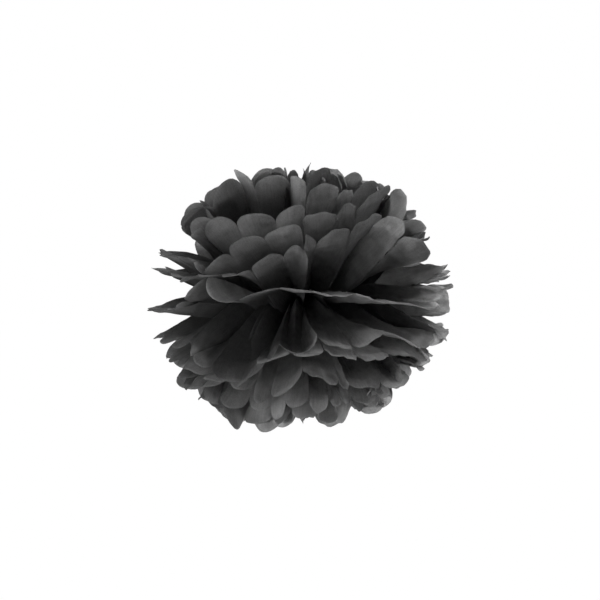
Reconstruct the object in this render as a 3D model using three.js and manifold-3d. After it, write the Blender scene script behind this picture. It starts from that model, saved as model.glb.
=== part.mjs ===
// A hanging pom pom of black tissue paper. A stack of sheets is folded into an accordion, tied round
// its middle with wire and cut round at both ends. The two ends are fanned out, and the sheets are
// pulled apart one by one, half of them up and half of them down, until their petals fill a ball.
// Millimetres and degrees. X runs along the folded strip, Z is the axis that the petals are pulled
// towards, and the origin is the middle of the tie.

import * as THREE from "three";
import { mergeVertices } from "three/addons/utils/BufferGeometryUtils.js";
import Module from "manifold-3d";

// The flat sheets
const SHEETS = 11;
const PLEATS = 16; // panels between the folds of one sheet
const PLEAT_WIDTH = 42;
const SHEET_LENGTH = 350; // from petal tip to petal tip, through the tie
const LOBE_HEIGHT = 0.49 * PLEAT_WIDTH; // how far the round cut of a petal stands past its folds
const PAPER_THICKNESS = 0.4;

// The tie
const LAYER_GAP = 0.6; // between neighbouring sheets inside the tie
const WAIST_WIDTH = 12; // gathered width of the sheets inside the tie
const WIRE_DIAMETER = 1.2;
const WIRE_CLEARANCE = 0.4;
const TWIST_HEIGHT = 14;
const TWIST_TURNS = 2.5;

// How the sheets are fanned and pulled apart, in degrees where it isn't a length
const SEAM_ANGLE = 1; // left open between the two fans, at the front and at the back
const FRONT_SEAM = 5; // how far the seams lie to the right of the middle
const BACK_SEAM = 12;
const SEAM_SHIFT = 7; // how far the seam of a single sheet strays at the tips
const LEFT_SPREAD = 0.15; // share by which the pleats at the side of the left fan are opened more
const RIGHT_CROWDING = 0.3; // and those at the side of the right fan less than the mean
const FAN_WOBBLE = 2; // how far single folds stray sideways at the tips
const FIRST_LIFT = 23; // of the sheets next to the middle one
const TOP_LIFT = 96; // of the first and the last sheet
const LIFT_UNEVEN = 0.45; // share by which the room between two sheets varies at the tips
const BEND_LENGTH = SHEET_LENGTH / 4; // a petal bends up over this length and then runs straight
const GATHER_LENGTH = 2.6 * PLEAT_WIDTH; // the pleats reach their full width this far from the tie
const CURL_OUT = 10; // mean and spread of how far a petal's tip rolls back
const CURL_SPREAD = 14;
const CURL_START = 0.5; // share of the petal's length
const CUP_DEPTH = 3; // hollow across a petal

const HALF_STACK = (SHEETS - 1) / 2;
const LAYER_PITCH = PAPER_THICKNESS + LAYER_GAP;
const STACK_HEIGHT = (SHEETS - 1) * LAYER_PITCH + PAPER_THICKNESS;
const COLLAR = WIRE_DIAMETER / 2 + 2 * WIRE_CLEARANCE; // half the length that the tie holds straight
const REACH = SHEET_LENGTH / 2 - COLLAR; // of a petal's tip, along the paper

const radians = THREE.MathUtils.degToRad;
const lerp = THREE.MathUtils.lerp;

// A repeatable number from -1 to 1 for a set of counters.
function scatter(...counters) {
  const mixed = counters.reduce((sum, counter, i) => sum + counter * (12.9898 + 31.117 * i), 1);
  const wave = Math.sin(mixed) * 43758.5453;
  return 2 * (wave - Math.floor(wave)) - 1;
}

const pleatAt = (fold) => Math.min(Math.floor(fold), PLEATS - 1);

// A value that is scattered from fold to fold and runs straight between two folds.
function alongFolds(fold, ...counters) {
  const before = pleatAt(fold);
  return lerp(scatter(before, ...counters), scatter(before + 1, ...counters), fold - before);
}

// Sheets are counted from the top. The rank is 0 for the middle sheet and grows upwards.
const rankOf = (sheet) => HALF_STACK - sheet;

// The slope at which a sheet is pulled off the stack.
function liftOf(sheet) {
  const rank = rankOf(sheet);
  if (rank === 0) return 0;
  const share = HALF_STACK > 1 ? (Math.abs(rank) - 1) / (HALF_STACK - 1) : 1;
  return Math.sign(rank) * lerp(FIRST_LIFT, TOP_LIFT, share);
}

// The slope that a petal tends to at its tip. The sheets keep their order, with uneven room between them.
function tipLift(sheet, end, fold) {
  let above = 0;
  let all = 0;
  for (let layer = 0; layer < SHEETS - 1; layer++) {
    const even = liftOf(layer) - liftOf(layer + 1);
    const room = even * (1 + LIFT_UNEVEN * alongFolds(fold, layer, end, 2));
    if (layer < sheet) above += room;
    all += room;
  }
  return TOP_LIFT - (2 * TOP_LIFT * above) / all;
}

// How freely the paper strays: not at the tie, where the sheets press on each other, and most at the tips.
const looseness = (length) => (length / REACH) ** 2;

// The direction of a fold in plan, from straight along the strip.
function fanAngle(sheet, end, fold, length) {
  const share = fold / PLEATS;
  const inside = Math.sin(Math.PI * share);
  const crowding = end > 0 ? RIGHT_CROWDING : -LEFT_SPREAD;
  const placed = share + (crowding / (2 * Math.PI)) * Math.sin(2 * Math.PI * share);
  const first = -90 + SEAM_ANGLE / 2 + end * FRONT_SEAM;
  const last = 90 - SEAM_ANGLE / 2 - end * BACK_SEAM;
  const seamSide = share < 0.5 ? 0 : 1;
  const nearSeam = Math.abs(2 * share - 1);
  const seamShift = SEAM_SHIFT * nearSeam * scatter(sheet, seamSide, 5) * end * (seamSide ? -1 : 1);
  const wobble = FAN_WOBBLE * inside * alongFolds(fold, sheet, end, 1);
  return lerp(first, last, placed) + looseness(length) * (seamShift + wobble);
}

// The slope of the paper at a length from the tie. It bends off the stack and rolls back at the tip.
function headingAt(sheet, end, fold, length) {
  const even = liftOf(sheet);
  const slope = lerp(even, tipLift(sheet, end, fold), looseness(length));
  const rolled = Math.max(length / REACH - CURL_START, 0) / (1 - CURL_START);
  const outward = Math.sign(rankOf(sheet) || scatter(sheet, end));
  const curl = CURL_OUT + CURL_SPREAD * alongFolds(fold, sheet, end, 3);
  return radians(slope * Math.min(length / BEND_LENGTH, 1) - outward * curl * rolled ** 2);
}

// The way along a fold line to a length from the tie: how far out and up it gets, and its last slope.
const WALK_STEPS = 24;

function walk(sheet, end, fold, length) {
  const step = length / WALK_STEPS;
  let out = 0;
  let up = 0;
  for (let i = 0; i < WALK_STEPS; i++) {
    const heading = headingAt(sheet, end, fold, (i + 0.5) * step);
    out += step * Math.cos(heading);
    up += step * Math.sin(heading);
  }
  return { out, up, heading: headingAt(sheet, end, fold, length) };
}

// Half the depth of the zigzag at a fold, from the pleats on both sides of it: the wider a pleat is
// opened in plan, the flatter it lies.
function foldDepth(sheet, end, fold, length, out) {
  const paperWidth = PLEAT_WIDTH * Math.min(length / GATHER_LENGTH, 1);
  const pleats = [fold - 1, fold].filter((pleat) => pleat >= 0 && pleat < PLEATS);
  const depths = pleats.map((pleat) => {
    const opened = fanAngle(sheet, end, pleat + 1, length) - fanAngle(sheet, end, pleat, length);
    const gap = (COLLAR + Math.max(out, 0)) * radians(opened);
    return Math.sqrt(Math.max(paperWidth ** 2 - gap ** 2, 0)) / 2;
  });
  return depths.reduce((sum, depth) => sum + depth, 0) / depths.length;
}

// A point of a folded sheet: fold counts along the accordion and may lie between two folds, and
// length runs along the paper from the tie.
function sheetPoint(sheet, end, fold, length) {
  const pleat = pleatAt(fold);
  const across = fold - pleat;
  const { out, up, heading } = walk(sheet, end, fold, length);
  const before = foldDepth(sheet, end, pleat, length, out);
  const after = foldDepth(sheet, end, pleat + 1, length, out);
  const zigzag = (pleat % 2 ? 1 : -1) * lerp(before, -after, across);
  const cup = CUP_DEPTH * scatter(pleat, sheet, end, 4) * 4 * across * (1 - across);
  const raised = zigzag + cup * looseness(length);
  const fan = radians(fanAngle(sheet, end, fold, length));
  const plan = out - raised * Math.sin(heading);
  return new THREE.Vector3(
    end * (COLLAR + plan * Math.cos(fan)),
    WAIST_WIDTH * (fold / PLEATS - 0.5) + plan * Math.sin(fan),
    rankOf(sheet) * LAYER_PITCH + up + raised * Math.cos(heading),
  );
}

// How far the paper runs from the tie at a fold, or at the round cut between two folds.
function cutLength(fold) {
  const offCentre = 2 * (fold - Math.floor(fold)) - 1;
  return REACH - LOBE_HEIGHT * (1 - Math.sqrt(1 - offCentre ** 2));
}

// Rows of a fan from the tie to the cut: the share of the cut length, and where each pleat has points.
const AT_FOLDS = [0];
const AT_FOLDS_AND_MIDDLES = [0, 0.5];
const ROUND_THE_LOBE = [0, 0.15, 0.5, 0.85];
const FAN_ROWS = [
  { share: 0, steps: AT_FOLDS },
  { share: 0.3, steps: AT_FOLDS },
  { share: 0.62, steps: AT_FOLDS_AND_MIDDLES },
  { share: 1, steps: ROUND_THE_LOBE },
];

function foldsOf(steps) {
  const folds = [];
  for (let pleat = 0; pleat < PLEATS; pleat++) folds.push(...steps.map((step) => pleat + step));
  return [...folds, PLEATS];
}

// The triangles between two rows of points that run the same way, each point with its fold count.
function stitch(row, next, triangles) {
  let i = 0;
  let j = 0;
  while (i < row.length - 1 || j < next.length - 1) {
    const onRow = j === next.length - 1 || (i < row.length - 1 && row[i + 1].fold <= next[j + 1].fold);
    if (onRow) triangles.push(row[i].index, row[++i].index, next[j].index);
    else triangles.push(row[i].index, next[j + 1].index, next[j++].index);
  }
}

// A surface of triangles made into a closed sheet of the given thickness.
function thicken(points, triangles, thickness) {
  const surface = new THREE.BufferGeometry().setFromPoints(points);
  surface.setIndex(triangles);
  surface.computeVertexNormals();
  const normals = surface.getAttribute("normal");
  const normal = new THREE.Vector3();
  const faceOf = (offset) =>
    points.map((point, i) => point.clone().addScaledVector(normal.fromBufferAttribute(normals, i), offset));
  const below = points.length;
  const faces = [];
  const rim = new Map();
  for (let i = 0; i < triangles.length; i += 3) {
    const [a, b, c] = triangles.slice(i, i + 3);
    faces.push(a, b, c, below + a, below + c, below + b);
    for (const [from, to] of [[a, b], [b, c], [c, a]]) {
      if (!rim.delete(`${to},${from}`)) rim.set(`${from},${to}`, [from, to]);
    }
  }
  for (const [from, to] of rim.values()) {
    faces.push(from, below + from, below + to, from, below + to, to);
  }
  const solid = new THREE.BufferGeometry().setFromPoints([...faceOf(thickness / 2), ...faceOf(-thickness / 2)]);
  solid.setIndex(faces);
  return solid;
}

// One sheet, from the cut edge of its left fan through the tie to the cut edge of its right fan.
function sheetGeometry(sheet) {
  const points = [];
  const fanRow = (end) => ({ share, steps }) =>
    foldsOf(steps).map((fold) => {
      points.push(sheetPoint(sheet, end, fold, share * cutLength(fold)));
      return { fold, index: points.length - 1 };
    });
  const rows = [...FAN_ROWS.map(fanRow(-1)).reverse(), ...FAN_ROWS.map(fanRow(1))];
  const triangles = [];
  for (let i = 0; i + 1 < rows.length; i++) stitch(rows[i + 1], rows[i], triangles);
  return thicken(points, triangles, PAPER_THICKNESS);
}

const wasm = await Module();
wasm.setup();

function toSolid(geometry) {
  const bare = geometry.clone();
  bare.deleteAttribute("normal");
  bare.deleteAttribute("uv");
  const merged = mergeVertices(bare, 1e-4);
  return new wasm.Manifold(
    new wasm.Mesh({
      numProp: 3,
      vertProperties: merged.getAttribute("position").array,
      triVerts: new Uint32Array(merged.index.array),
    }),
  );
}

function toGeometry(solid) {
  const { vertProperties, triVerts } = solid.getMesh();
  const geometry = new THREE.BufferGeometry();
  geometry.setAttribute("position", new THREE.BufferAttribute(vertProperties, 3));
  geometry.setIndex(new THREE.BufferAttribute(triVerts, 1));
  return geometry;
}

// A round wire along a curve.
const WIRE_SIDES = 6;
const TWIST_STEPS = 15;

function wireAlong(curve, steps) {
  const section = new THREE.Shape();
  for (let i = 0; i < WIRE_SIDES; i++) {
    const angle = (2 * Math.PI * i) / WIRE_SIDES;
    const corner = [Math.cos(angle), Math.sin(angle)].map((value) => (value * WIRE_DIAMETER) / 2);
    if (i === 0) section.moveTo(...corner);
    else section.lineTo(...corner);
  }
  section.closePath();
  return toSolid(new THREE.ExtrudeGeometry(section, { steps, extrudePath: curve, bevelEnabled: false }));
}

// The wire goes once round the waist of the stack, and its two ends are twisted together above it.
// The pom pom hangs by this twist.
function tieGeometry() {
  const outside = WIRE_CLEARANCE + WIRE_DIAMETER / 2;
  const halfWidth = WAIST_WIDTH / 2 + outside;
  const halfHeight = STACK_HEIGHT / 2 + outside;
  const corner = outside; // the wire turns round the corners of the stack
  const corners = [[1, 1], [-1, 1], [-1, -1], [1, -1]];
  const loop = corners.flatMap(([y, z], quarter) =>
    [0, 0.5, 1].map((share) => {
      const angle = ((quarter + share) * Math.PI) / 2;
      return new THREE.Vector3(
        0,
        y * (halfWidth - corner) + corner * Math.cos(angle),
        z * (halfHeight - corner) + corner * Math.sin(angle),
      );
    }),
  );
  const round = new THREE.CatmullRomCurve3(loop, true);
  let tie = toSolid(new THREE.TubeGeometry(round, 2 * loop.length, WIRE_DIAMETER / 2, WIRE_SIDES, true));

  const strandRadius = WIRE_DIAMETER * 0.4; // the strands press into each other
  for (const phase of [0, Math.PI]) {
    const strand = [];
    for (let i = 0; i <= TWIST_STEPS; i++) {
      const angle = phase + (2 * Math.PI * TWIST_TURNS * i) / TWIST_STEPS;
      strand.push(
        new THREE.Vector3(
          strandRadius * Math.sin(angle),
          strandRadius * Math.cos(angle),
          halfHeight + (TWIST_HEIGHT * i) / TWIST_STEPS,
        ),
      );
    }
    tie = tie.add(wireAlong(new THREE.CatmullRomCurve3(strand), TWIST_STEPS));
  }
  return toGeometry(tie);
}

const tissue = new THREE.MeshStandardMaterial({
  name: "tissue_paper",
  color: 0x39393b,
  roughness: 0.95,
  metalness: 0,
  side: THREE.DoubleSide,
});
const wire = new THREE.MeshStandardMaterial({
  name: "tie_wire",
  color: 0x262627,
  roughness: 0.6,
  metalness: 0.2,
});

function named(name, geometry, material) {
  const mesh = new THREE.Mesh(geometry, material);
  mesh.name = name;
  return mesh;
}

const pomPom = new THREE.Group();
pomPom.name = "tissue_pom_pom";
for (let sheet = 0; sheet < SHEETS; sheet++) {
  const number = String(sheet + 1).padStart(2, "0");
  pomPom.add(named(`tissue_sheet_${number}`, sheetGeometry(sheet), tissue));
}
pomPom.add(named("tie_wire", tieGeometry(), wire));

export default pomPom;
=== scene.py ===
import math

import bmesh
import bpy
import numpy as np
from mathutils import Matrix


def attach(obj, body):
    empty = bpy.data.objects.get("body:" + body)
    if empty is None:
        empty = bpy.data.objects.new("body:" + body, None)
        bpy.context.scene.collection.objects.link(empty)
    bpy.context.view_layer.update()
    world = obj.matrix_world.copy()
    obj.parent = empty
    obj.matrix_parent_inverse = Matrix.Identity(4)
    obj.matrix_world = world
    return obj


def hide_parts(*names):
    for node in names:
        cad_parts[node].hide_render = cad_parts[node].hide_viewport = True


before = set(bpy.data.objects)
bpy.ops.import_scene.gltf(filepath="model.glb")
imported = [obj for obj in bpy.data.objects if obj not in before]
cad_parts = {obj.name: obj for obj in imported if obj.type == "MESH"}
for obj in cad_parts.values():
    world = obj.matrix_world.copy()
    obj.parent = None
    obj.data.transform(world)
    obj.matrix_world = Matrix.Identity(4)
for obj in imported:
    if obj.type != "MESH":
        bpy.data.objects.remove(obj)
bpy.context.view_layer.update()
scene = bpy.context.scene

# The tissue sheets
# Rectangles of thin black tissue paper, stacked and folded together into one accordion, tied round the
# middle and cut round at both ends. Each end is fanned out, and the sheets are pulled apart one by one,
# the upper ones up and the lower ones down, so that the panels between the folds stand as petals.
SHEETS = 11
PLEATS = 16
PLEAT_WIDTH = 0.042
SHEET_LENGTH = 0.350
LAYER_PITCH = 0.001
WAIST_WIDTH = 0.012
COLLAR = 0.0014
REACH = SHEET_LENGTH / 2 - COLLAR
HALF_STACK = (SHEETS - 1) / 2
LEFT, RIGHT = -1, 1

# Paper that is pulled out by hand lies unevenly. Most draws end with a counter for what they scatter.
SCATTER_STEP = 12.9898
SCATTER_STEP_GROWTH = 31.117
SCATTER_GAIN = 43758.5453
(
    WIDTH_DRAW, LIFT_DRAW, CURL_DRAW, CUP_DRAW, SEAM_DRAW, FAN_DRAW,
    BEND_DRAW, SKEW_DRAW, LENGTH_DRAW, RAGGED_DRAW, CREASE_DRAW, FINE_DRAW,
) = range(1, 13)


def scatter(*counters):
    """A repeatable number from -1 to 1 for a set of counters."""
    mixed = 1.0
    for place, counter in enumerate(counters):
        mixed = mixed + np.asarray(counter, float) * (SCATTER_STEP + SCATTER_STEP_GROWTH * place)
    wave = np.sin(mixed) * SCATTER_GAIN
    return 2 * (wave - np.floor(wave)) - 1


def pleat_of(fold):
    """The pleat that a count of folds lies in, and how far across the pleat it is."""
    pleat = np.minimum(np.floor(fold), PLEATS - 1)
    return pleat, fold - pleat


def along_folds(fold, *counters):
    """A value that is scattered from fold to fold and runs straight between two folds."""
    before, across = pleat_of(fold)
    first = scatter(before, *counters)
    return first + (scatter(before + 1, *counters) - first) * across


def crumple(across, along, *counters):
    """Smooth noise from -1 to 1 over the flat sheet, one bump for each unit."""
    column, row = np.floor(across), np.floor(along)
    right, up = across - column, along - row
    right, up = right * right * (3 - 2 * right), up * up * (3 - 2 * up)
    near = scatter(column, row, *counters) * (1 - right) + scatter(column + 1, row, *counters) * right
    far = scatter(column, row + 1, *counters) * (1 - right) + scatter(column + 1, row + 1, *counters) * right
    return near * (1 - up) + far * up


def set_by_hand(scattered, chosen, sheet, end, pleat):
    """Scattered values of the petals, with those put in place that are chosen for single petals."""
    for (chosen_rank, chosen_end, chosen_pleat), value in chosen.items():
        if (chosen_rank, chosen_end) == (HALF_STACK - sheet, end):
            scattered = np.where(pleat == chosen_pleat, value, scattered)
    return scattered


# The ends are cut round through the folded stack. Those at the right are frayed, and a few petals stand
# out of the top of the ball: these are given by rank, end and pleat. The rank is 0 for the middle sheet
# and grows upwards.
LOBE_HEIGHT = 0.49 * PLEAT_WIDTH
LOBE_SQUARENESS = 2.2
LOBE_SKEW = 0.12
LOBE_SPREAD = 0.006
LONG_PETALS = {(4, LEFT, 2): 0.005, (5, LEFT, 0): 0.013}
RAGGED = {LEFT: 0.0006, RIGHT: 0.002}
RAGS_PER_PLEAT = 9


def cut_length(sheet, end, fold):
    """How far the paper runs from the tie, with a round end between each two folds."""
    pleat, across = pleat_of(fold)
    off_centre = 2 * across - 1
    off_centre = off_centre + LOBE_SKEW * scatter(pleat, sheet, end, SKEW_DRAW) * (1 - off_centre ** 2)
    round_end = (1 - np.abs(off_centre) ** LOBE_SQUARENESS) ** (1 / LOBE_SQUARENESS)
    spread = LOBE_SPREAD * scatter(pleat, sheet, end, LENGTH_DRAW)
    spread = set_by_hand(spread, LONG_PETALS, sheet, end, pleat)
    ragged = RAGGED[end] * crumple(fold * RAGS_PER_PLEAT, 0.0, sheet, end, RAGGED_DRAW)
    return REACH - LOBE_HEIGHT + (LOBE_HEIGHT + spread) * round_end + ragged


# The two fans meet at a front and a back seam, a few degrees off the middle. Their pleats open unevenly.
FRONT_SEAM = 5
BACK_SEAM = 12
SEAM_OVERLAP = 3
SEAM_SHIFT = 7
SEAM_OPENING = {LEFT: -0.15, RIGHT: 0.3}
PLEAT_UNEVEN = 0.45


def fan_angle(sheet, end, fold, reach):
    """The direction of a fold in plan, in degrees from straight along the strip."""
    pleats = np.arange(PLEATS)
    shared, own = scatter(pleats, end, FAN_DRAW), scatter(pleats, sheet, end, WIDTH_DRAW)
    narrowed = 0.5 + 0.25 * shared + 0.25 * own
    opening = 1 + SEAM_OPENING[end] * np.cos(2 * np.pi * (pleats + 0.5) / PLEATS)
    width = opening * (1 - PLEAT_UNEVEN * narrowed ** 2)
    place = np.concatenate([[0], np.cumsum(width)]) / np.sum(width)
    share = fold / PLEATS
    share = share + reach * (np.interp(fold, np.arange(PLEATS + 1), place) - share)
    first = -90 - SEAM_OVERLAP / 2 + end * FRONT_SEAM
    last = 90 + SEAM_OVERLAP / 2 - end * BACK_SEAM
    at_back = np.where(share < 0.5, 0, 1)
    near_seam = np.abs(2 * share - 1)
    shift = SEAM_SHIFT * near_seam * scatter(sheet, at_back, SEAM_DRAW) * end * np.where(at_back, -1, 1)
    return first + (last - first) * share + reach ** 2 * shift


# Each sheet is pulled off the stack at a slope of its own, in degrees, and its tips roll back. The middle
# sheet lies flatter, and the first and the last sheet lean in over the hollows at the top and the bottom.
FIRST_LIFT = 23
TOP_LIFT = 96
LIFT_UNEVEN = 0.6
SEAM_LIFT = 4
BEND_LENGTH = SHEET_LENGTH / 4
CURL_START = 0.45
CURL_LIMIT = 1.2
CURL_OUT = 10
CURL_SPREAD = 20
CURL_LOST_OUTSIDE = 0.6
CLOSE_IN = 30
MIDDLE_SETTLED = 0.2


def lift_of(sheet):
    """The slope at which a sheet is pulled off the stack."""
    rank = HALF_STACK - sheet
    if rank == 0:
        return 0
    step = (TOP_LIFT - FIRST_LIFT) / (HALF_STACK - 1)
    return math.copysign(FIRST_LIFT + step * (abs(rank) - 1), rank)


def tip_lift(sheet, end, fold):
    """The slope that a petal tends to at its tip: the sheets keep their order, with uneven room between."""
    room = [
        (lift_of(layer) - lift_of(layer + 1)) * (1 + LIFT_UNEVEN * along_folds(fold, layer, end, LIFT_DRAW))
        for layer in range(SHEETS - 1)
    ]
    above = sum(room[:sheet], 0 * fold)
    near_seam = np.maximum(1 - np.minimum(fold, PLEATS - fold), 0)
    return TOP_LIFT - 2 * TOP_LIFT * above / sum(room) - end * SEAM_LIFT * near_seam


def settled_share(sheet):
    """How much of the uneven pull a sheet takes."""
    return MIDDLE_SETTLED if sheet == HALF_STACK else 1


def outward_side(sheet, end):
    """1 for an upper sheet, -1 for a lower one, and one of both by chance for the middle one."""
    return math.copysign(1, (HALF_STACK - sheet) or scatter(sheet, end))


def bent_folds(sheet, end, fold, length):
    """The slope of the paper along each fold, and how far out and up that takes it from the tie."""
    outside = abs(HALF_STACK - sheet) / HALF_STACK
    reach = length / REACH
    settled = settled_share(sheet)
    slope = lift_of(sheet) + settled * reach ** 2 * (tip_lift(sheet, end, fold) - lift_of(sheet))
    rolled = np.clip((reach - CURL_START) / (1 - CURL_START), 0, CURL_LIMIT)
    curl = CURL_OUT + CURL_SPREAD * along_folds(fold, sheet, end, CURL_DRAW)
    curl = curl * (1 - CURL_LOST_OUTSIDE * outside) * settled - CLOSE_IN * (outside == 1)
    curl = outward_side(sheet, end) * curl * rolled ** 2
    heading = np.radians(slope * np.minimum(length / BEND_LENGTH, 1) - curl)
    step = np.diff(length, axis=0)
    middle = (heading[1:] + heading[:-1]) / 2
    start = np.zeros((1, length.shape[1]))
    out = np.concatenate([start, np.cumsum(step * np.cos(middle), axis=0)])
    up = np.concatenate([start, np.cumsum(step * np.sin(middle), axis=0)])
    return heading, out, up


# Across the folds the paper zigzags. It is gathered towards the tie, and the front folds of the middle
# sheet and of its neighbours are pressed flat: so many folds of each, by how far it is from the middle.
COLUMNS_PER_PLEAT = 14
GATHER_LENGTH = 1.4 * PLEAT_WIDTH
FRONT_PRESSED = 0.9
PRESSED_FOLDS = {0: 5, 1: 2}


def zigzag(sheet, end, fold, length, out):
    """How far the paper stands above its fan: the wider a pleat is opened in plan, the flatter it lies."""
    pleat, across = pleat_of(fold)
    reach = length / REACH
    opened = np.radians(fan_angle(sheet, end, pleat + 1, reach) - fan_angle(sheet, end, pleat, reach))
    paper_width = PLEAT_WIDTH * np.minimum(length / GATHER_LENGTH, 1)
    gap = (COLLAR + np.maximum(out, 0)) * opened
    depth = np.sqrt(np.maximum(paper_width ** 2 - gap ** 2, 0)) / 2
    middles = depth[:, COLUMNS_PER_PLEAT // 2::COLUMNS_PER_PLEAT]
    pairs = (middles[:, 1:] + middles[:, :-1]) / 2
    fold_depth = np.concatenate([middles[:, :1], pairs, middles[:, -1:]], axis=1)
    before = pleat.astype(int)
    row = np.arange(length.shape[0])[:, None]
    raised = fold_depth[row, before] * (1 - across) - fold_depth[row, before + 1] * across
    raised = np.where(before % 2, 1, -1) * raised
    pressed_folds = PRESSED_FOLDS.get(abs(HALF_STACK - sheet))
    if pressed_folds:
        raised = raised * (1 - FRONT_PRESSED * np.clip(1 - fold / pressed_folds, 0, 1))
    return raised


# Paper that is pulled half up or down is pushed back towards the tie, by a share of its distance, so that
# the ball is flatter than its reach.
PUSHED_DOWN = {LEFT: 0.03, RIGHT: 0.07}
PUSHED_UP = {LEFT: 0.0, RIGHT: 0.10}


def pushed_together(points, end):
    """The points of a fan after that push."""
    elevation = np.arctan2(points[..., 2], np.hypot(points[..., 0], points[..., 1]))
    pushed = np.where(elevation > 0, PUSHED_DOWN[end], PUSHED_UP[end])
    return points * (1 - pushed * np.sin(2 * elevation) ** 2)[..., None]


# The front petals lie where the photo shows them. The notches between them are given in pixels of the
# photo, by rank and end, from the front seam of each fan outwards. Where the ball turns away at the side,
# only the row is given.
PHOTO_PIXELS = 600
PHOTO_CENTRE = PHOTO_PIXELS / 2
METRES_PER_PIXEL = 0.001148
CAMERA_DISTANCE = 2.0
CAMERA_ELEVATION = math.radians(2)
EYE = CAMERA_DISTANCE * np.array([0, -math.cos(CAMERA_ELEVATION), math.sin(CAMERA_ELEVATION)])
PHOTO_UPRIGHT = np.array([0, math.sin(CAMERA_ELEVATION), math.cos(CAMERA_ELEVATION)])
FRONT_NOTCHES = {
    (4, LEFT): [(306, 190), (291, 190), (255, 191), (246, 193), (216, 214), (190, 236), 214, 206],
    (3, LEFT): [(305, 212), (276, 224), (238, 228), (212, 246), (200, 244), 228, 218, 212],
    (2, LEFT): [(302, 232), (266, 241), (232, 257), (209, 277), (202, 265), 261, 260, 259, 258, 257, 256],
    (1, LEFT): [(308, 261), (284, 259), (253, 272), (227, 275), (204, 276), 277, 275, 273, 272, 271],
    (0, LEFT): [(312, 292), (279, 289), (240, 301), (211, 277), (191, 301), 306, 308, 307, 308, 309],
    (-1, LEFT): [(316, 333), (279, 344), (267, 356), (214, 364), (199, 351), 337, 336, 334, 333, 332],
    (-2, LEFT): [(323, 349), (292, 350), (260, 356), (236, 374), (212, 372), (190, 358), 354, 352, 350],
    (-3, LEFT): [(302, 370), (272, 388), (258, 377), (232, 374), (210, 380), (190, 374), 370, 366],
    (-4, LEFT): [(309, 392), (286, 400), (272, 396), (250, 396), (224, 386), (206, 384)],
    (-5, LEFT): [(292, 403), (274, 411), (246, 413), (224, 399), (210, 391), (204, 386)],
    (4, RIGHT): [(306, 190), (336, 189), (362, 193), (385, 205), (396, 216), 212, 208],
    (3, RIGHT): [(306, 204), (336, 200), (352, 203), (377, 204), (392, 219), (401, 227), 228, 226],
    (2, RIGHT): [(303, 225), (337, 222), (355, 216), (383, 203), (396, 227), (408, 241), 246, 246, 246],
    (1, RIGHT): [
        (303, 252), (316, 247), (349, 239), (375, 224), (396, 243), (420, 264), 280, 279, 280, 276, 274, 272,
    ],
    (0, RIGHT): [(312, 292), (351, 295), (382, 300), (412, 306), (424, 300), 288, 286, 290],
    (-1, RIGHT): [(316, 337), (349, 342), (380, 331), (412, 346), (422, 328), (426, 324)],
    (-2, RIGHT): [(323, 349), (354, 355), (385, 353), (406, 352), (414, 342), (416, 346)],
    (-3, RIGHT): [(302, 370), (337, 377), (345, 382), (378, 380), (394, 366), (398, 362)],
    (-4, RIGHT): [(309, 392), (328, 394), (337, 390), (350, 394), (370, 388), (382, 376)],
    (-5, RIGHT): [(292, 403), (318, 408), (336, 404), (352, 400), (363, 391), (374, 382), (381, 374)],
}
FADE_FOLDS = 3
PULL_POWER = 1.3
MIDDLE_PULL_POWER = 0.25


def front_point(pixel, radius):
    """The nearest point of a ball round the tie that the photo shows at a pixel."""
    column, row = pixel
    right = (column - PHOTO_CENTRE) * METRES_PER_PIXEL
    up = (PHOTO_CENTRE - row) * METRES_PER_PIXEL
    sight = np.array([right, 0, 0]) + up * PHOTO_UPRIGHT - EYE
    sight /= np.linalg.norm(sight)
    middle = -EYE @ sight
    half_chord = math.sqrt(max(radius ** 2 - EYE @ EYE + middle ** 2, 0))
    return EYE + (middle - half_chord) * sight


def level_point(row, notch):
    """A notch at the side, turned up or down round the tie until the photo shows it in a row of pixels."""
    nearness = 1 + notch[1] / CAMERA_DISTANCE
    up = (PHOTO_CENTRE - row) * METRES_PER_PIXEL * nearness
    height = (up - notch[1] * math.sin(CAMERA_ELEVATION)) / math.cos(CAMERA_ELEVATION)
    level = math.sqrt(notch @ notch - height ** 2) / math.hypot(notch[0], notch[1])
    return np.array([notch[0] * level, notch[1] * level, height])


def pulled_to_photo(points, sheet, end, fold, length):
    """A fan with its notches pulled to their places, and the paper behind them drawn along."""
    rank = HALF_STACK - sheet
    traced = FRONT_NOTCHES.get((rank, end))
    if not traced:
        return points
    notches = points[-1, ::COLUMNS_PER_PLEAT]
    pull = np.zeros_like(notches)
    for number, seen in enumerate(traced):
        notch = notches[number]
        if isinstance(seen, tuple):
            pull[number] = front_point(seen, np.linalg.norm(notch)) - notch
        else:
            pull[number] = level_point(seen, notch) - notch
    last = len(traced) - 1
    for after in range(1, FADE_FOLDS):
        pull[last + after] = pull[last] * (1 - after / FADE_FOLDS)
    pleat, across = pleat_of(fold)
    before = pleat.astype(int)
    pulled = pull[before] * (1 - across[..., None]) + pull[before + 1] * across[..., None]
    spread = (length / (REACH - LOBE_HEIGHT)) ** (PULL_POWER if rank else MIDDLE_PULL_POWER)
    return points + pulled * spread[..., None]


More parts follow.
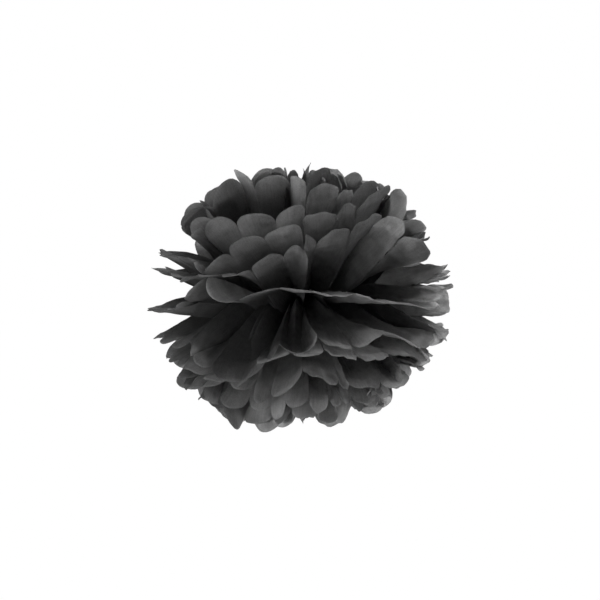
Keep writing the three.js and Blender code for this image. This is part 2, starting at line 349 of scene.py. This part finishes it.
# Each petal is hollow, its round end bends up or down, its rim stands out and its paper is creased, most
# so at the right. Hollows of single front petals are given by rank, end and pleat. Above zero, the middle
# of the petal stands towards the upper side of its sheet.
CUP_DEPTH = 0.003
FRONT_HOLLOWS = {
    (-1, LEFT, 0): -0.013,
    (1, LEFT, 0): 0.010,
    (0, LEFT, 2): -0.010,
    (0, LEFT, 0): 0.0,
    (0, LEFT, 1): 0.0,
    (0, RIGHT, 0): -0.002,
    (4, LEFT, 3): 0.002,
    (-1, LEFT, 1): 0.0,
    (-1, LEFT, 2): -0.006,
}
LOBE_BEND = 0.006
BEND_LIMIT = 1.3
RIM_FLARE = 0.0016
RIM_WIDTH = 0.008
WRINKLE = {LEFT: 0.0014, RIGHT: 0.0042}
CREASES_PER_PLEAT = 2.3
CREASE_SLANT = 0.05
CREASE_LENGTH = 0.021
FINE_CREASES_PER_PLEAT = 5
FINE_SLANT = -0.03
FINE_LENGTH = 0.010
FINE_SHARE = 0.5


def petal_relief(sheet, end, fold, length, cut):
    """How far the paper of each petal stands off its panel."""
    pleat, across = pleat_of(fold)
    looseness = (length / REACH) ** 2
    outward = outward_side(sheet, end)
    hump = 4 * across * (1 - across)
    cup = CUP_DEPTH * (scatter(pleat, sheet, end, CUP_DRAW) - outward)
    cup = set_by_hand(cup, FRONT_HOLLOWS, sheet, end, pleat) * hump * looseness
    freed = np.clip((length - REACH + LOBE_HEIGHT) / LOBE_HEIGHT, 0, BEND_LIMIT)
    bend = LOBE_BEND * scatter(pleat, sheet, end, BEND_DRAW) * freed ** 2 * settled_share(sheet)
    rim = RIM_FLARE * np.clip(1 - (cut - length) / RIM_WIDTH, 0, 1) ** 2 * hump ** 0.5
    slanted = fold * CREASES_PER_PLEAT + length / CREASE_SLANT
    creases = 0.5 - np.abs(crumple(slanted, length / CREASE_LENGTH, sheet, end, CREASE_DRAW))
    slanted = fold * FINE_CREASES_PER_PLEAT + length / FINE_SLANT
    fine = 0.5 - np.abs(crumple(slanted, length / FINE_LENGTH, sheet, end, FINE_DRAW))
    wrinkle = WRINKLE[end] * looseness * (creases + FINE_SHARE * fine)
    return cup + bend + outward * rim + wrinkle


# A sheet is one mesh from cut to cut. Its rows lie closer together towards the cuts, and its columns
# towards the folds, where the cut is steep.
ROWS_PER_END = 52
ROW_POWER = 0.85


def fan_points(sheet, end):
    """Points of one end of a sheet, with their folds and their lengths from the tie and from the cut."""
    turn = np.linspace(0, np.pi, COLUMNS_PER_PLEAT, endpoint=False)
    within = (1 - np.cos(turn)) / 2
    fold = np.append((np.arange(PLEATS)[:, None] + within[None, :]).ravel(), PLEATS)
    share = np.linspace(0, 1, ROWS_PER_END) ** ROW_POWER
    cut = cut_length(sheet, end, fold)[None, :]
    length = share[:, None] * cut
    fold = np.broadcast_to(fold[None, :], length.shape)

    heading, out, up = bent_folds(sheet, end, fold, length)
    raised = zigzag(sheet, end, fold, length, out)
    fan = np.radians(fan_angle(sheet, end, fold, length / REACH))
    plan = out - raised * np.sin(heading)
    points = np.stack([
        end * (COLLAR + plan * np.cos(fan)),
        WAIST_WIDTH * (fold / PLEATS - 0.5) + plan * np.sin(fan),
        (HALF_STACK - sheet) * LAYER_PITCH + up + raised * np.cos(heading),
    ], axis=-1)
    points = pushed_together(points, end)
    points = pulled_to_photo(points, sheet, end, fold, length)

    normal = np.cross(np.gradient(points, axis=0), np.gradient(points, axis=1)) * end
    normal /= np.maximum(np.linalg.norm(normal, axis=-1, keepdims=True), 1e-12)
    points = points + normal * petal_relief(sheet, end, fold, length, cut)[..., None]
    return points, fold, length, cut - length


def tissue_sheet(sheet):
    """One sheet as a mesh that keeps each point's place on the flat paper and its margin from the cut."""
    left, left_fold, left_length, left_margin = fan_points(sheet, LEFT)
    right, right_fold, right_length, right_margin = fan_points(sheet, RIGHT)
    places = np.concatenate([left[::-1], right])
    flat_fold = np.concatenate([left_fold[::-1], right_fold])
    flat_length = np.concatenate([-left_length[::-1] - COLLAR, right_length + COLLAR])
    margin = np.concatenate([left_margin[::-1], right_margin])
    rows, columns = margin.shape

    mesh = bpy.data.meshes.new(f"folded_sheet_{sheet + 1:02d}")
    grid = bmesh.new()
    bmesh.ops.create_grid(grid, x_segments=columns - 1, y_segments=rows - 1, size=0.5)
    grid.to_mesh(mesh)
    grid.free()
    corners = np.zeros(3 * len(mesh.vertices))
    mesh.vertices.foreach_get("co", corners)
    corners = corners.reshape(-1, 3)
    column = np.rint((corners[:, 0] + 0.5) * (columns - 1)).astype(int)
    row = np.rint((corners[:, 1] + 0.5) * (rows - 1)).astype(int)
    mesh.vertices.foreach_set("co", places[row, column].ravel())

    loop_corner = np.zeros(len(mesh.loops), int)
    mesh.loops.foreach_get("vertex_index", loop_corner)
    flat_place = np.stack([flat_fold / PLEATS, flat_length / SHEET_LENGTH + 0.5], axis=-1)[row, column]
    mesh.uv_layers.new(name="flat_sheet").data.foreach_set("uv", flat_place[loop_corner].ravel())
    from_cut = mesh.attributes.new("from_cut", "FLOAT", "POINT")
    from_cut.data.foreach_set("value", margin[row, column])
    layer_number = mesh.attributes.new("layer_number", "FLOAT", "POINT")
    layer_number.data.foreach_set("value", np.full(len(mesh.vertices), float(sheet)))
    mesh.polygons.foreach_set("use_smooth", np.ones(len(mesh.polygons), bool))
    mesh.update()
    return mesh


def calculate(tree, operation, first, second):
    """A Math node between numbers or the outputs of other nodes."""
    step = tree.nodes.new("ShaderNodeMath")
    step.operation = operation
    for socket, value in zip(step.inputs, (first, second)):
        if isinstance(value, (int, float)):
            socket.default_value = value
        else:
            tree.links.new(value, socket)
    return step.outputs["Value"]


# The paper is matt and nearly black, and its greys come from light that passes through it. More is let
# through near the cut and less further in, which is a painted glow at the rims and painted shade towards the
# tie. Streaks run along the folds, with a fine grain and patches of crumpled paper. Each noise has so many
# bumps across the flat sheet, along it and from one sheet to the next.
PAPER_BLACK = (0.062, 0.062, 0.063, 1)
PAPER_ROUGHNESS = 0.9
PAPER_SHINE = 0.05
LIGHT_THROUGH = (0.82, 0.82, 0.82, 1)
# The shares let through at the cut and further in: a painted glow at the rims and painted shade inside.
THROUGH_AT_CUT = 0.59
THROUGH_INSIDE = 0.37
CUT_MARGIN = 0.045
BUMPS_PER_SHEET = 3.7
STREAK_BUMPS = (PLEATS * 26, 14, BUMPS_PER_SHEET)
GRAIN_BUMPS = (PLEATS * 40, 330, BUMPS_PER_SHEET)
PATCH_BUMPS = (PLEATS * 2.2, 22, BUMPS_PER_SHEET)
STREAK_SHARE = 0.4
GRAIN_SHARE = 0.6
PATCH_SHARE = 0.9
EVEN_SHARE = 0.05
STREAK_RELIEF = 0.5
CREASE_RELIEF = -2.0
DENT_HEIGHT = 0.0012
DENT_STRENGTH = 0.5


def paper_noise(tree, flat_place, bumps, detail):
    """Noise over the flat sheet."""
    stretched = tree.nodes.new("ShaderNodeVectorMath")
    stretched.operation = "MULTIPLY"
    stretched.inputs[1].default_value = bumps
    noise = tree.nodes.new("ShaderNodeTexNoise")
    noise.inputs["Scale"].default_value = 1
    noise.inputs["Detail"].default_value = detail
    tree.links.new(flat_place, stretched.inputs[0])
    tree.links.new(stretched.outputs["Vector"], noise.inputs["Vector"])
    return noise.outputs["Fac"]


def black_tissue():
    """The material of all the sheets: a dark surface mixed with one that lets light through."""
    material = bpy.data.materials.new("black_tissue")
    material.use_nodes = True
    tree = material.node_tree
    nodes, links = tree.nodes, tree.links
    nodes.clear()

    # Places on the flat sheet, with the number of the sheet as the third axis.
    flat_sheet = nodes.new("ShaderNodeUVMap")
    flat_sheet.uv_map = "flat_sheet"
    apart = nodes.new("ShaderNodeSeparateXYZ")
    number = nodes.new("ShaderNodeAttribute")
    number.attribute_name = "layer_number"
    together = nodes.new("ShaderNodeCombineXYZ")
    links.new(flat_sheet.outputs["UV"], apart.inputs["Vector"])
    links.new(apart.outputs["X"], together.inputs["X"])
    links.new(apart.outputs["Y"], together.inputs["Y"])
    links.new(number.outputs["Fac"], together.inputs["Z"])
    flat_place = together.outputs["Vector"]
    streaks = paper_noise(tree, flat_place, STREAK_BUMPS, detail=2)
    grain = paper_noise(tree, flat_place, GRAIN_BUMPS, detail=1)
    patches = paper_noise(tree, flat_place, PATCH_BUMPS, detail=3)

    # How much light passes through. It is raised near the cut as a painted rim glow and lowered further in
    # as painted shade.
    margin = nodes.new("ShaderNodeAttribute")
    margin.attribute_name = "from_cut"
    painted_rim_glow = nodes.new("ShaderNodeMapRange")
    painted_rim_glow.interpolation_type = "SMOOTHSTEP"
    painted_rim_glow.inputs["From Max"].default_value = CUT_MARGIN
    painted_rim_glow.inputs["To Min"].default_value = THROUGH_AT_CUT
    painted_rim_glow.inputs["To Max"].default_value = THROUGH_INSIDE
    links.new(margin.outputs["Fac"], painted_rim_glow.inputs["Value"])
    uneven = EVEN_SHARE
    for noise, noise_share in ((streaks, STREAK_SHARE), (grain, GRAIN_SHARE), (patches, PATCH_SHARE)):
        uneven = calculate(tree, "ADD", calculate(tree, "MULTIPLY", noise, noise_share), uneven)
    let_through = calculate(tree, "MULTIPLY", painted_rim_glow.outputs["Result"], uneven)

    # Streaks and creases dent the paper.
    crease = calculate(tree, "ABSOLUTE", calculate(tree, "SUBTRACT", patches, 0.5), 0)
    streak_dents = calculate(tree, "MULTIPLY", streaks, STREAK_RELIEF)
    crease_dents = calculate(tree, "MULTIPLY", crease, CREASE_RELIEF)
    dents = nodes.new("ShaderNodeBump")
    dents.inputs["Strength"].default_value = DENT_STRENGTH
    dents.inputs["Distance"].default_value = DENT_HEIGHT
    links.new(calculate(tree, "ADD", streak_dents, crease_dents), dents.inputs["Height"])

    paper = nodes.new("ShaderNodeBsdfPrincipled")
    paper.inputs["Base Color"].default_value = PAPER_BLACK
    paper.inputs["Roughness"].default_value = PAPER_ROUGHNESS
    paper.inputs["Specular IOR Level"].default_value = PAPER_SHINE
    through = nodes.new("ShaderNodeBsdfTranslucent")
    through.inputs["Color"].default_value = LIGHT_THROUGH
    links.new(dents.outputs["Normal"], paper.inputs["Normal"])
    links.new(dents.outputs["Normal"], through.inputs["Normal"])
    mix = nodes.new("ShaderNodeMixShader")
    output = nodes.new("ShaderNodeOutputMaterial")
    links.new(let_through, mix.inputs["Fac"])
    links.new(paper.outputs[0], mix.inputs[1])
    links.new(through.outputs[0], mix.inputs[2])
    links.new(mix.outputs[0], output.inputs["Surface"])
    return material


PAPER_THICKNESS = 0.00025
tissue = black_tissue()
for sheet in range(SHEETS):
    petals = bpy.data.objects.new(f"petals_{sheet + 1:02d}", tissue_sheet(sheet))
    scene.collection.objects.link(petals)
    petals.data.materials.append(tissue)
    wall = petals.modifiers.new("paper", "SOLIDIFY")
    wall.thickness = PAPER_THICKNESS
    wall.offset = 0
    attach(petals, "root")
    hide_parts(f"tissue_sheet_{sheet + 1:02d}")

# The tie
# A thin wire with black paint, wound once round the waist of the stack and twisted together on top of it.
# It is hidden by the petals and keeps the shape of its CAD solid. Its paint is scuffed from the twisting.
WIRE_BLACK = (0.012, 0.012, 0.012, 1)
WIRE_SCUFFED = (0.035, 0.035, 0.036, 1)
WIRE_ROUGHNESS = (0.35, 0.65)
SCUFFS_PER_METRE = 900
SCUFF_DETAIL = 3
wire_paint = bpy.data.materials.new("black_wire")
wire_paint.use_nodes = True
nodes, links = wire_paint.node_tree.nodes, wire_paint.node_tree.links
wire_surface = nodes["Principled BSDF"]
wire_place = nodes.new("ShaderNodeTexCoord")
scuffs = nodes.new("ShaderNodeTexNoise")
scuffs.inputs["Scale"].default_value = SCUFFS_PER_METRE
scuffs.inputs["Detail"].default_value = SCUFF_DETAIL
paint = nodes.new("ShaderNodeValToRGB")
for stop, colour in zip(paint.color_ramp.elements, (WIRE_BLACK, WIRE_SCUFFED)):
    stop.color = colour
gloss = nodes.new("ShaderNodeMapRange")
gloss.inputs["To Min"].default_value, gloss.inputs["To Max"].default_value = WIRE_ROUGHNESS
links.new(wire_place.outputs["Object"], scuffs.inputs["Vector"])
links.new(scuffs.outputs["Fac"], paint.inputs["Fac"])
links.new(paint.outputs["Color"], wire_surface.inputs["Base Color"])
links.new(scuffs.outputs["Fac"], gloss.inputs["Value"])
links.new(gloss.outputs["Result"], wire_surface.inputs["Roughness"])
tie_wire = bpy.data.objects["tie_wire"]
for slot in tie_wire.material_slots:
    slot.material = wire_paint

# The studio
# A pale floor far below the ball and a white room round it. Three soft lamps and a sky that is brighter
# behind the ball light the paper from the back and the sides, so that its edges glow grey.
FLOOR_DROP = 2
FLOOR_HALF_WIDTH = 40
FLOOR_PALE = (0.85, 0.85, 0.85, 1)
FLOOR_WHITE_SHARE = 0.97
FLOOR_WHITE_STRENGTH = 1.02
LAMP_SIZE = (0.9, 0.5)
LAMP_PLACES_AND_WATTS = {
    "back_lamp": ((0.6, 0.87, -0.45), 8),
    "side_lamp": ((1.05, 0.2, 0.5), 7),
    "fill_lamp": ((-0.8, -0.9, -0.5), 6),
}
SKY_WHITE = (1, 1, 1, 1)
SKY_GREY = (0.8, 0.8, 0.8, 1)
SKY_BRIGHT_SIDE = (0.3, 0.95, 0.0)
SKY_FADE = (-0.4, 0.8)
SKY_STRENGTH = (0.34, 0.95)


def shows_white(tree):
    """1 for rays of the camera, of gloss and of clear glass, and 0 for those that the paper scatters."""
    rays = tree.nodes.new("ShaderNodeLightPath").outputs
    shown = calculate(tree, "MAXIMUM", rays["Is Camera Ray"], rays["Is Glossy Ray"])
    clear = calculate(tree, "SUBTRACT", rays["Is Transmission Ray"], rays["Is Diffuse Ray"])
    return calculate(tree, "MAXIMUM", shown, clear)


floor_mesh = bpy.data.meshes.new("floor")
grid = bmesh.new()
bmesh.ops.create_grid(grid, x_segments=1, y_segments=1, size=FLOOR_HALF_WIDTH)
bmesh.ops.translate(grid, verts=grid.verts, vec=(0, 0, -FLOOR_DROP))
grid.to_mesh(floor_mesh)
grid.free()
floor = bpy.data.objects.new("floor", floor_mesh)
scene.collection.objects.link(floor)
pale = bpy.data.materials.new("pale_floor")
pale.use_nodes = True
nodes, links = pale.node_tree.nodes, pale.node_tree.links
nodes.clear()
matte = nodes.new("ShaderNodeBsdfDiffuse")
matte.inputs["Color"].default_value = FLOOR_PALE
white = nodes.new("ShaderNodeEmission")
white.inputs["Strength"].default_value = FLOOR_WHITE_STRENGTH
choice = nodes.new("ShaderNodeMixShader")
output = nodes.new("ShaderNodeOutputMaterial")
white_share = calculate(pale.node_tree, "MULTIPLY", shows_white(pale.node_tree), FLOOR_WHITE_SHARE)
links.new(white_share, choice.inputs["Fac"])
links.new(matte.outputs[0], choice.inputs[1])
links.new(white.outputs[0], choice.inputs[2])
links.new(choice.outputs[0], output.inputs["Surface"])
floor_mesh.materials.append(pale)

for name, (place, watts) in LAMP_PLACES_AND_WATTS.items():
    lamp_light = bpy.data.lights.new(name, "AREA")
    lamp_light.shape = "RECTANGLE"
    lamp_light.size, lamp_light.size_y = LAMP_SIZE
    lamp_light.energy = watts
    lamp = bpy.data.objects.new(name, lamp_light)
    scene.collection.objects.link(lamp)
    lamp.location = place
    lamp.rotation_euler = (-lamp.location).to_track_quat("-Z", "Y").to_euler()
    lamp.visible_camera = False

studio = bpy.data.worlds.new("studio")
scene.world = studio
studio.use_nodes = True
nodes, links = studio.node_tree.nodes, studio.node_tree.links
nodes.clear()
direction = nodes.new("ShaderNodeTexCoord")
towards = nodes.new("ShaderNodeVectorMath")
towards.operation = "DOT_PRODUCT"
towards.inputs[1].default_value = SKY_BRIGHT_SIDE
strength = nodes.new("ShaderNodeMapRange")
strength.inputs["From Min"].default_value, strength.inputs["From Max"].default_value = SKY_FADE
strength.inputs["To Min"].default_value, strength.inputs["To Max"].default_value = SKY_STRENGTH
sky_light = nodes.new("ShaderNodeBackground")
sky_light.inputs["Color"].default_value = SKY_GREY
sky_seen = nodes.new("ShaderNodeBackground")
sky_seen.inputs["Color"].default_value = SKY_WHITE
choice = nodes.new("ShaderNodeMixShader")
output = nodes.new("ShaderNodeOutputWorld")
links.new(direction.outputs["Generated"], towards.inputs[0])
links.new(towards.outputs["Value"], strength.inputs["Value"])
links.new(strength.outputs["Result"], sky_light.inputs["Strength"])
links.new(shows_white(studio.node_tree), choice.inputs["Fac"])
links.new(sky_light.outputs[0], choice.inputs[1])
links.new(sky_seen.outputs[0], choice.inputs[2])
links.new(choice.outputs[0], output.inputs["Surface"])

# The camera
# It stands where the photo was taken from, almost level with the tie, which lies in the middle of the
# picture, and its frame is as wide as the photo's at the distance of the tie.
SENSOR_WIDTH = 36
view = bpy.data.cameras.new("camera")
view.sensor_width = SENSOR_WIDTH
view.lens = SENSOR_WIDTH * CAMERA_DISTANCE / (PHOTO_PIXELS * METRES_PER_PIXEL)
camera = bpy.data.objects.new("camera", view)
scene.collection.objects.link(camera)
scene.camera = camera
camera.location = EYE
camera.rotation_euler = (-camera.location).to_track_quat("-Z", "Y").to_euler()
scene.view_settings.view_transform = "Standard"
